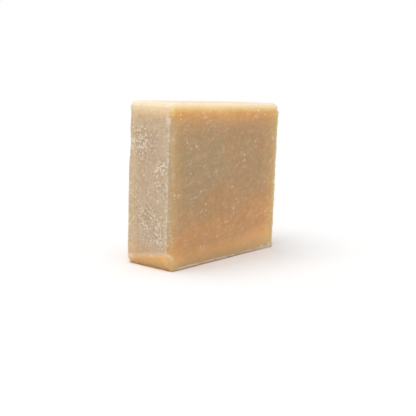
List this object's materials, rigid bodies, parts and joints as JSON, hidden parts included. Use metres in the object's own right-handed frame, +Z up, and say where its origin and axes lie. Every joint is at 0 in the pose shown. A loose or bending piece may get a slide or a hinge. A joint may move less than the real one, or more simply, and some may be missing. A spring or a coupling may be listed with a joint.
{
  "type": "bar of soap",
  "caption": "Thick, nearly square slab of hand-cut soap standing on a long narrow side, with pared edges and one coarse end.",
  "frame": {"origin": "centre of the base, the long narrow side that the bar stands on", "axes": "+X along the broad faces, from the coarse end to the far end; +Y through the thickness, from the front cut to the back cut; +Z up"},
  "size_m": [0.0766, 0.0262, 0.072],
  "materials": {
    "soap": "cured cream-tan soap, slightly waxy and faintly translucent, satin on the cut faces and chalky on the coarse end"
  },
  "bodies": {
    "root": {"soap_bar": "soap"}
  },
  "joints": []
}
